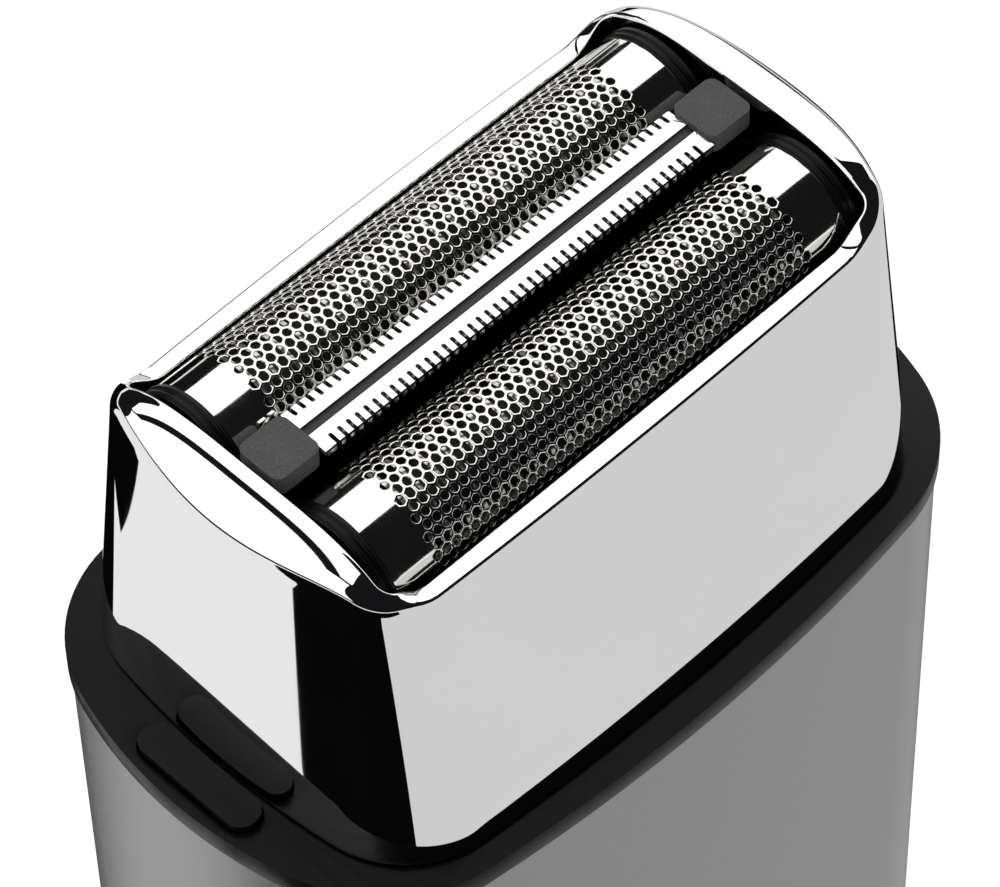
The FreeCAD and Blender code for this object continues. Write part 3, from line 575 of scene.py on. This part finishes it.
M = {
    "body_metal": make_mat("satin_metal", (0.325, 0.325, 0.33), 0.36, 1.0, 0.05, 2500, 0.06, 0.10, 9000),
    "chrome": make_mat("polished_chrome", (0.90, 0.90, 0.905), 0.028, 1.0, 0.015, 60, 0.02),
    "black_satin": make_mat("black_satin", (0.0025, 0.0025, 0.0028), 0.32, 0.0, 0.15, 1500, 0.06, 0.06, 7000, specular=0.14),
    "black_gloss": make_mat("black_gloss", (0.008, 0.008, 0.009), 0.24, 0.0, 0.15, 800, 0.06, 0.03, 5000, specular=0.45),
    "cap_plastic": make_mat("cap_grain", (0.112, 0.112, 0.114), 0.62, 0.0, 0.35, 5200, 0.15, 0.6, 5200, bdist=0.00006),
    "foil_steel": make_mat("foil_steel", (0.86, 0.84, 0.80), 0.075, 1.0, 0.03, 500, 0.05),
    "blade_steel": make_mat("blade_steel", (0.60, 0.59, 0.57), 0.26, 1.0, 0.06, 1200, 0.08),
    "comb_steel": make_mat("comb_steel", (0.86, 0.86, 0.86), 0.14, 1.0, 0.02, 700, 0.06, stretch=(0.1, 1, 1)),
    "spring_steel": make_mat("spring_wire", (0.55, 0.55, 0.55), 0.28, 1.0, 0.06, 1500, 0.08),
    "hub_plastic": make_mat("hub_plastic", (0.008, 0.008, 0.009), 0.5, 0.0, 0.15, 1500, 0.1),
    "drive_plastic": make_mat("acetal", (0.70, 0.70, 0.67), 0.42, 0.0, 0.05, 900, 0.08),
    "rubber": make_mat("soft_rubber", (0.020, 0.020, 0.021), 0.75, 0.0, 0.2, 2200, 0.1, 0.2, 5000),
    "chassis_plastic": make_mat("chassis_plastic", (0.08, 0.08, 0.085), 0.5, 0.0, 0.1, 900, 0.1),
    "cell_wrap": make_mat("cell_wrap", (0.02, 0.08, 0.26), 0.25, 0.0, 0.08, 500, 0.06),
    "nickel": make_mat("nickel", (0.66, 0.63, 0.58), 0.22, 1.0, 0.05, 900, 0.08),
    "brass": make_mat("brass", (0.75, 0.55, 0.24), 0.25, 1.0, 0.05, 900, 0.08),
    "board": make_mat("solder_mask", (0.012, 0.11, 0.045), 0.35, 0.0, 0.15, 1200, 0.08),
    "chip": make_mat("chip_package", (0.012, 0.012, 0.012), 0.55, 0.0, 0.2, 2500, 0.1),
    "can_steel": make_mat("can_steel", (0.55, 0.55, 0.54), 0.28, 1.0, 0.05, 900, 0.08),
    "screw_steel": make_mat("screw_steel", (0.45, 0.45, 0.45), 0.3, 1.0, 0.06, 1500, 0.08),
    "slider_plastic": make_mat("slider_plastic", (0.016, 0.016, 0.017), 0.42, 0.0, 0.2, 2500, 0.1, 0.15, 7000),
}
lens = make_mat("lamp_lens", (0.85, 0.93, 0.96), 0.12, 0.0, 0.03, 900, 0.05)
lens.node_tree.nodes["Principled BSDF"].inputs["Transmission Weight"].default_value = 0.75
M["lens"] = lens

def crease_group(limit):
    """Marks edges sharper than the limit, so flat faces stay flat."""
    g = bpy.data.node_groups.new("creases", "GeometryNodeTree")
    g.interface.new_socket(name="Geometry", in_out="INPUT", socket_type="NodeSocketGeometry")
    g.interface.new_socket(name="Geometry", in_out="OUTPUT", socket_type="NodeSocketGeometry")
    gi, go = g.nodes.new("NodeGroupInput"), g.nodes.new("NodeGroupOutput")
    ang = g.nodes.new("GeometryNodeInputMeshEdgeAngle")
    cmp = g.nodes.new("FunctionNodeCompare")
    cmp.data_type = "FLOAT"
    cmp.operation = "GREATER_THAN"
    cmp.inputs[1].default_value = math.radians(limit)
    g.links.new(ang.outputs[0], cmp.inputs[0])
    st = g.nodes.new("GeometryNodeSetShadeSmooth")
    st.domain = "EDGE"
    st.inputs["Shade Smooth"].default_value = False
    g.links.new(gi.outputs[0], st.inputs["Geometry"])
    g.links.new(cmp.outputs[0], st.inputs["Selection"])
    g.links.new(st.outputs[0], go.inputs[0])
    return g


creases = crease_group(32)
slot_of = {r["node"]: r["material_slot"] for r in frame["record"]["subparts"]}
bevel_mm = {
    "collar": 0.40, "base_cap": 0.7, "base_foot": 0.2, "neck": 0.14,
    "release_button_left": 0.28, "release_button_right": 0.28, "switch_slider": 0.28, "switch_bezel": 0.14,
    "trimmer_cap_left": 0.22, "trimmer_cap_right": 0.22, "trimmer_comb": 0.035, "charging_socket": 0.2,
    "foil_carrier_front": 0.05, "foil_carrier_rear": 0.05, "foil_cassette": 0.12, "trimmer_bed": 0.05,
    "drive_bridge": 0.12, "chassis": 0.2, "circuit_board": 0.06, "motor_mount": 0.2, "charge_chip": 0.1,
}
button_dark = make_mat("button_dark", (0.004, 0.004, 0.0045), 0.42, 0.0, 0.2, 1800, 0.08, 0.08, 7000, specular=0.16)
for n, o in nodes.items():
    o.data.materials.clear()
    o.data.materials.append(button_dark if n.startswith("release_button") else M[slot_of[n]])
    if o.hide_render:
        continue
    o.data.polygons.foreach_set("use_smooth", [True] * len(o.data.polygons))
    w = o.modifiers.new("weld", "WELD")
    w.merge_threshold = 2e-6
    if n in bevel_mm:
        b = o.modifiers.new("bevel", "BEVEL")
        b.width = bevel_mm[n] * K
        b.segments = 3
        b.limit_method = "ANGLE"
        b.angle_limit = math.radians(38)
        b.harden_normals = True
        b.use_clamp_overlap = True
    o.modifiers.new("creases", "NODES").node_group = creases
for o in list(scene.objects):
    if o.type == "MESH" and "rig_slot" in o and not o.data.materials:
        o.data.materials.append(M[o["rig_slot"]])

# ------------------------------------------------------------------ studio
def plane(name, verts, mat):
    o = mesh_piece(name, verts, [tuple(range(len(verts)))], smooth=False)
    o.data.materials.append(mat)
    return o


def glow(name, base, level, tint=(1, 1, 1)):
    """Matt card that also gives off a little even light."""
    m = make_mat(name, (base, base, base), 0.8, 0.0, 0.01, 4.0, 0.02)
    p = m.node_tree.nodes["Principled BSDF"]
    p.inputs["Emission Color"].default_value = (*tint, 1)
    p.inputs["Emission Strength"].default_value = level
    p.inputs["Specular IOR Level"].default_value = 0.0
    return m


floor = plane("floor", [(-3000, -3000, -0.05), (3000, -3000, -0.05), (3000, 3000, -0.05), (-3000, 3000, -0.05)],
              glow("pale_floor", 0.5, 0.90))
black = glow("black_card", 0.004, 0.0)
grey = glow("grey_card", 0.20, 0.60)
light = glow("light_card", 0.20, 0.80)


def sector(name, a0, a1, r0, r1, z, mat, mid=(0.0, 0.0)):
    """Card lying on the studio floor, seen only in the polished metal."""
    n = 24
    steps = a0 if isinstance(a0, list) else [(r1, a0, a1)]
    steps = [(r0, steps[0][1], steps[0][2])] + steps
    V, F = [], []
    for r, lo, hi in steps:
        for i in range(n + 1):
            a = math.radians(lo + (hi - lo) * i / n)
            V.append((mid[0] + r * math.cos(a), mid[1] + r * math.sin(a), z))
    for k in range(len(steps) - 1):
        for i in range(n):
            q0 = k * (n + 1) + i
            F.append((q0, q0 + n + 1, q0 + n + 2, q0 + 1))
    o = mesh_piece(name, V, F, smooth=False)
    o.data.materials.append(mat)
    o.visible_camera = False
    o.visible_diffuse = False
    o.visible_shadow = False
    return o


sector("card_corner", [(112, 153, 232), (142, 164, 236), (200, 165, 240), (245, 166, 276), (1200, 166, 278)], None, 40, 1200, 2.0, black, (-22.0, -10.0))
sector("card_rear", 62, 108, 40, 1200, 2.5, black, (-22.0, 10.0))
sector("card_end", 90, 200, 30, 1500, 1.5, light, (-22.0, 0.0))
sector("card_front", 204, 372, 30, 1500, 1.0, grey, (0.0, -10.0))
sector("card_lip", -8, 62, 60, 700, 1.2, grey, (20.0, 0.0))
sector("card_skyline", 0, 62, 800, 1500, 3.0, black)
sector("card_edge", 10, 32, 40, 420, 2.2, black, (20.0, -10.0))

turns = [math.radians(5 * i) for i in range(72)]
wall = [(2900 * math.cos(a), 2900 * math.sin(a), z) for z in (-0.2, 4200) for a in turns]
backdrop = mesh_piece("backdrop", wall, [(i, (i + 1) % 72, (i + 1) % 72 + 72, i + 72) for i in range(72)])
backdrop.data.materials.append(glow("backdrop_cloth", 0.3, 0.97))
backdrop.visible_glossy = False
backdrop.visible_diffuse = False
backdrop.visible_shadow = False
backdrop.visible_transmission = False

world = bpy.data.worlds.new("studio")
scene.world = world
world.use_nodes = True
bg = world.node_tree.nodes.get("Background") or world.node_tree.nodes.new("ShaderNodeBackground")
bg.inputs[0].default_value = (0.008, 0.008, 0.009, 1)
bg.inputs[1].default_value = 1.0


def softbox(name, direction, dist, sx, sy, radiance, up=(0, 1, 0), target=(0, 0, 140.0), gloss=True, tint=(1, 1, 1)):
    ld = bpy.data.lights.new(name, "AREA")
    ld.shape = "RECTANGLE"
    ld.size = sx
    ld.size_y = sy
    ld.energy = radiance * math.pi * sx * sy
    ld.color = tint
    o = bpy.data.objects.new(name, ld)
    scene.collection.objects.link(o)
    d = Vector(direction).normalized()
    o.location = Vector(target) * K + d * dist
    u = Vector(up)
    y = (u - d * u.dot(d)).normalized()
    x = y.cross(d)
    o.matrix_world = Matrix.Translation(o.location) @ Matrix((x, y, d)).transposed().to_4x4()
    o.visible_camera = False
    o.visible_glossy = gloss
    return o


def panel(name, level, zones, tint=(1, 1, 1), radius=1300.0, step=1.5):
    """Diffuser panels of the light tent; zones are (u0, u1, v0, v1) in degrees,
    u turning about Y from straight up towards +X, v rising towards +Y."""
    V, F = [], []
    for u0, u1, v0, v1 in zones:
        nu = max(int(math.ceil((u1 - u0) / step)), 1)
        nv = max(int(math.ceil((v1 - v0) / step)), 1)
        base = len(V)
        for i in range(nu + 1):
            for j in range(nv + 1):
                u = math.radians(u0 + (u1 - u0) * i / nu)
                v = math.radians(v0 + (v1 - v0) * j / nv)
                V.append((radius * math.sin(u) * math.cos(v), radius * math.sin(v), 140 + radius * math.cos(u) * math.cos(v)))
        for i in range(nu):
            for j in range(nv):
                q0 = base + i * (nv + 1) + j
                F.append((q0, q0 + 1, q0 + nv + 2, q0 + nv + 1))
    o = mesh_piece(name, V, F, smooth=False)
    m = glow(name + "_cloth", 0.3, level, tint)
    o.data.materials.append(m)
    o.visible_camera = False
    o.visible_diffuse = False
    o.visible_shadow = False
    return o


panel("tent_key", 1.15, [(10, 72, -3, 53)], (1.0, 0.99, 0.965))
panel("tent_middle", 1.02, [(-11, 10, -22, 66)])
panel("tent_side", 0.98, [(-85, -18, -22, 66)])
panel("tent_back", 1.02, [(72, 94, -12, 60)])
softbox("even_top", (0.0, 0.0, 1.0), 1.5, 1.6, 1.6, 1.2, gloss=False)
softbox("even_front", (0.3, -1.0, 0.45), 1.5, 1.2, 0.8, 0.9, up=(0, 0, 1), gloss=False)
softbox("even_side", (-1.0, -0.2, 0.5), 1.5, 1.0, 0.8, 0.9, up=(0, 0, 1), gloss=False)

# ------------------------------------------------------------------ camera
f_px = 5688.0
az, el, roll = math.radians(-43.70), math.radians(52.51), math.radians(-1.65)
tx, ty = 0.5, -170.0
D = 363.3
back = Vector((math.sin(az) * math.cos(el), -math.cos(az) * math.cos(el), math.sin(el)))
right = Vector((math.cos(az), math.sin(az), 0))
up = back.cross(right)
rt = right * math.cos(roll) + up * math.sin(roll)
u2 = -math.sin(roll) * right + math.cos(roll) * up
C = back * D - rt * (tx * D / f_px) + u2 * (ty * D / f_px)
C = (C + Vector((0, 0, 150.0))) * K
cam_data = bpy.data.cameras.new("camera")
cam = bpy.data.objects.new("camera", cam_data)
scene.collection.objects.link(cam)
cam_data.sensor_width = 36.0
cam_data.lens = 36.0 * f_px / 1000.0
cam_data.clip_start = 0.01
cam_data.clip_end = 20.0
cam.matrix_world = Matrix.Translation(C) @ Matrix((rt, u2, back)).transposed().to_4x4()
scene.camera = cam

scene.view_settings.view_transform = "Standard"
scene.view_settings.look = "None"
scene.view_settings.exposure = 0.0
scene.view_settings.gamma = 1.0
